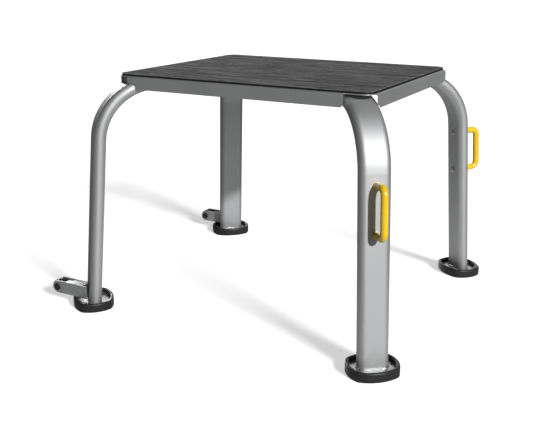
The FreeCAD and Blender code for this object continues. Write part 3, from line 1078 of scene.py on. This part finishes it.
def make_axle(low, high):
    head_outer = (high.x - low.x) / 2
    length = high.y - low.y - cap_height
    rings = [
        (on_axis, -length),
        (axle_shank * 0.7, -length),
        (axle_shank * 0.93, -length + 0.0008),
    ]
    rings += thread(axle_shank, -length + 0.001, -length + 0.012, 0.0015)
    rings += [
        (axle_shank, -length + 0.0125),
        (axle_shank, 0),
        (head_outer, 0),
        (head_outer, 0.0014),
        (head_outer * 0.985, 0.0022),
        (head_outer * 0.93, 0.0029),
        (head_outer * 0.84, 0.0034),
        (head_outer * 0.72, 0.0037),
        (head_outer * 0.66, 0.0037),
        (head_outer * 0.62, 0.0037 - cap_groove),
        (head_outer * 0.56, 0.0037 - cap_groove),
        (head_outer * 0.52, 0.0038),
        (head_outer * 0.3, cap_height),
        (on_axis, cap_height),
    ]
    return turned("axle", rings, black_steel)


for side in ("front", "back"):
    node = "axle_bolt_" + side
    low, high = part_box(node)
    middle = (low + high) / 2
    head_seat = Vector((middle.x, low.y + cap_height, middle.z))
    spots = [(head_seat, Vector((0, -1, 0)))]
    place("axle_bolt_detailed_" + side, make_axle(low, high), spots, "black_steel", [node])

# %% [markdown]
# ## Wheel tyres
# The tyres are turned rubber rings with two shallow grooves, and they ride on the wheels'
# bodies, so they turn with them.

# %% Make the tyres
tyre_steps = 64
tread_groove = 0.0011


def make_tyre(side):
    node = "wheel_tread_" + side
    low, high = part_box(node)
    core_low, core_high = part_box("wheel_core_" + side)
    outer = (high.x - low.x) / 2
    inner = (core_high.x - core_low.x) / 2
    half = (high.y - low.y) / 2
    profile = [
        (inner, -half),
        (outer - 0.0024, -half),
        (outer - 0.0008, -half + 0.0007),
        (outer, -half + 0.0024),
    ]
    for groove in (-half * 0.36, half * 0.36):
        profile += [
            (outer, groove - 0.0012),
            (outer - tread_groove, groove - 0.0006),
            (outer - tread_groove, groove + 0.0006),
            (outer, groove + 0.0012),
        ]
    profile += [
        (outer, half - 0.0024),
        (outer - 0.0008, half - 0.0007),
        (outer - 0.0024, half),
        (inner, half),
    ]
    middle = (low + high) / 2
    rings = []
    for radius, offset in profile:
        ring = []
        for k in range(tyre_steps):
            angle = math.tau * k / tyre_steps
            x = radius * math.cos(angle)
            z = radius * math.sin(angle)
            ring.append(middle + Vector((x, offset, z)))
        rings.append(ring)
    tyre = loft("wheel_tyre_" + side, rings, wheel_rubber, closed=True)
    settle(tyre, "wheel_rubber", node, body="wheel_" + side)


for side in ("front", "back"):
    make_tyre(side)

# %% [markdown]
# ## Painted shade in the forks
# Between the two plates of each fork a thin black strip closes the top, from the tube to just
# short of the tyre. It is painted shade: a dark sheet standing for the shade in the gap between
# the plates, not a real part. Its place comes from the plates and the tyre, and it is a plain
# lofted strip with its upper edges rounded.

# %% Make the painted shade strips in the forks
shade_strip_gap = 0.0005
shade_strip_thick = 0.0022
shade_strip_below = 0.0012
shade_strip_into_tube = 0.004
shade_strip_dip = 0.0035
shade_strip_rounding = 0.0007
shade_strip_steps = 12
tyre_clear = 0.0035


def make_shade_strip(side):
    plates = [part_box("fork_plate_" + side + "_" + plate) for plate in ("a", "b")]
    inner, outer = sorted(plates, key=lambda ends: ends[0].y)
    tyre_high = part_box("wheel_tread_" + side)[1]
    low_y = inner[1].y + shade_strip_gap
    high_y = outer[0].y - shade_strip_gap
    top = inner[1].z - shade_strip_below
    start = tyre_high.x + tyre_clear
    end = min(inner[1].x, outer[1].x) + shade_strip_into_tube
    section = [
        (low_y, top - shade_strip_thick),
        (high_y, top - shade_strip_thick),
        (high_y, top - shade_strip_rounding),
        (high_y - shade_strip_rounding, top),
        (low_y + shade_strip_rounding, top),
        (low_y, top - shade_strip_rounding),
    ]
    rings = []
    for k in range(shade_strip_steps + 1):
        x = start + (end - start) * k / shade_strip_steps
        dip = shade_strip_dip * (1 - k / shade_strip_steps) ** 3
        rings.append([Vector((x, y, z - dip)) for y, z in section])
    # A near-black strip, painted shade between the fork plates.
    shade_strip = loft("fork_guard_" + side, rings, wheel_nylon)
    settle(shade_strip, "wheel_nylon")


for side in ("front", "back"):
    make_shade_strip(side)

# %% [markdown]
# ## The stage
# The block stands on a plain white floor that runs to the horizon. Seen straight by the camera,
# the floor glows a little by itself, so that only the deepest part of a shadow stays visible, as
# on a white studio sweep. In reflections it is a pool of light around the block that fades out,
# and this keeps a dark side on the paint.

# %% Floor
floor_half = 120.0
pool_middle = Vector((0.25, 0.05, 0))
pool_starts = 0.45
pool_reach = 1.25
floor_glow = 0.56
pool_glow = 0.38
beyond_glow = 0.015
floor_seen = (0.66, 0.66, 0.66)
floor_reflected = (0.17, 0.17, 0.17)

floor_mesh = bpy.data.meshes.new("floor")
floor_corners = []
for x, y in ((-1, -1), (1, -1), (1, 1), (-1, 1)):
    floor_corners.append((x * floor_half, y * floor_half, 0))
floor_mesh.from_pydata(floor_corners, [], [(0, 1, 2, 3)])
floor = bpy.data.objects.new("floor", floor_mesh)
bpy.context.scene.collection.objects.link(floor)


def finish_floor():
    material, tree, shader = new_finish("floor", floor_seen, 0, 0.9)
    shader.inputs["Specular IOR Level"].default_value = 0.0
    shader.inputs["Emission Color"].default_value = (1, 1, 1, 1)
    ends = {0: object_point(tree), 1: pool_middle}
    distance = add_node(tree, "ShaderNodeVectorMath", ends, operation="DISTANCE")
    away = distance.outputs["Value"]
    pool = to_range(tree, away, pool_starts, pool_reach, pool_glow, beyond_glow)
    seen = tree.nodes.new("ShaderNodeLightPath").outputs["Is Camera Ray"]
    white = mix_colour(tree, seen, floor_reflected, floor_seen)
    tree.links.new(white, shader.inputs["Base Color"])
    glow = add_node(tree, "ShaderNodeMix", {0: seen, 2: pool, 3: floor_glow})
    tree.links.new(glow.outputs[0], shader.inputs["Emission Strength"])
    floor_mesh.materials.append(material)


finish_floor()
print("floor ready")

# %% [markdown]
# ## Surroundings
# A studio lights metal with what it reflects. Here the surroundings are dim all round, with one
# broad bright panel to the front right, a second behind the block, higher up, and a faint third
# overhead. The second one lays a soft sheen over everything that lies flat: the deck, the foot
# plates, the tray's edge. Each panel has a direction, where it starts and is full, and a strength.

# %% Surroundings
panels = (
    (Vector((0.84, -0.46, 0.36)), 0.86, 0.99, 0.26),
    (Vector((-0.24, 0.88, 0.42)), 0.89, 0.99, 0.95),
    (Vector((0.10, -0.20, 1.00)), 0.82, 0.99, 0.12),
)
dim_level = 0.016


def light_world():
    world = bpy.data.worlds.new("studio")
    bpy.context.scene.world = world
    world.use_nodes = True
    tree = world.node_tree
    background = tree.nodes["Background"]
    looking = tree.nodes.new("ShaderNodeTexCoord").outputs["Generated"]
    level = dim_level
    for direction, starts, full, strength in panels:
        ways = {0: looking, 1: direction.normalized()}
        towards = add_node(tree, "ShaderNodeVectorMath", ways, operation="DOT_PRODUCT")
        panel = to_range(tree, towards.outputs["Value"], starts, full, 0, strength)
        panel.node.interpolation_type = "SMOOTHSTEP"
        level = maths(tree, "ADD", panel, level)
    seen = tree.nodes.new("ShaderNodeLightPath").outputs["Is Camera Ray"]
    strength = add_node(tree, "ShaderNodeMix", {0: seen, 2: level, 3: 1.0})
    tree.links.new(strength.outputs[0], background.inputs["Strength"])
    background.inputs["Color"].default_value = (1, 1, 1, 1)


light_world()
bpy.context.scene.view_settings.view_transform = "Standard"
print("surroundings ready")

# %% [markdown]
# ## Lamps
# Two suns from the front right light the set. The key is small and crisp and lights the block.
# The other is wide and soft, lights only the floor, and takes its shadows from the legs, so each
# foot throws a short streak that fades. A third, weaker one behind keeps the far side of the
# legs from going black, and leaves out the tread, which it would bleach. Light linking tells each
# lamp what it lights and what stops it.

# %% Lamps


def sun_lamp(name, heading, height, strength, spread):
    """A sun that shines from a heading in plan and a height, both in degrees."""
    data = bpy.data.lights.new(name, "SUN")
    data.energy = strength
    data.angle = math.radians(spread)
    lamp = bpy.data.objects.new(name, data)
    turn, rise = math.radians(heading), math.radians(height)
    level = math.cos(rise)
    from_there = Vector((math.cos(turn) * level, math.sin(turn) * level, math.sin(rise)))
    lamp.rotation_euler = from_there.to_track_quat("Z", "Y").to_euler()
    bpy.context.scene.collection.objects.link(lamp)
    return lamp


def leave_out(lamp, name, pieces):
    """Makes a lamp light everything but the given pieces."""
    group = bpy.data.collections.new(name)
    for piece in pieces:
        group.objects.link(piece)
    for linked in group.collection_objects:
        linked.light_linking.link_state = "EXCLUDE"
    lamp.light_linking.receiver_collection = group


key = sun_lamp("key", -33, 27, 3.35, 2.5)
leave_out(key, "everything but the floor", [floor])
rim = sun_lamp("rim", 140, 14, 1.2, 12)
leave_out(rim, "everything but the floor and the tread", [floor, tread])

ground_light = sun_lamp("ground light", -24, 27, 6.0, 15)
only_floor = bpy.data.collections.new("only the floor")
only_floor.objects.link(floor)
ground_light.light_linking.receiver_collection = only_floor
stops_light = bpy.data.collections.new("what stands on the floor")
for piece in bpy.context.scene.objects:
    if piece.name.startswith(("leg_tube", "boot", "fork", "wheel")):
        stops_light.objects.link(piece)
ground_light.light_linking.blocker_collection = stops_light

# %% [markdown]
# ## Camera
# The camera stands at a person's chest height, to the front right of the block, and looks a
# little down on the deck.

# %% Camera
camera_place = Vector((deck_middle.x + 1.2686, deck_middle.y - 2.5090, 1.1546))
camera_down = 0.306
camera_turn = 0.484
camera_roll = 0.005
camera = bpy.data.objects.new("camera", bpy.data.cameras.new("camera"))
camera.data.lens = 51.26
camera.data.sensor_width = 36.0
looking = Euler((math.pi / 2 - camera_down, 0, camera_turn)).to_matrix()
looking = looking @ Matrix.Rotation(camera_roll, 3, "Z")
camera.matrix_world = Matrix.Translation(camera_place) @ looking.to_4x4()
bpy.context.scene.collection.objects.link(camera)
bpy.context.scene.camera = camera
print("camera ready")
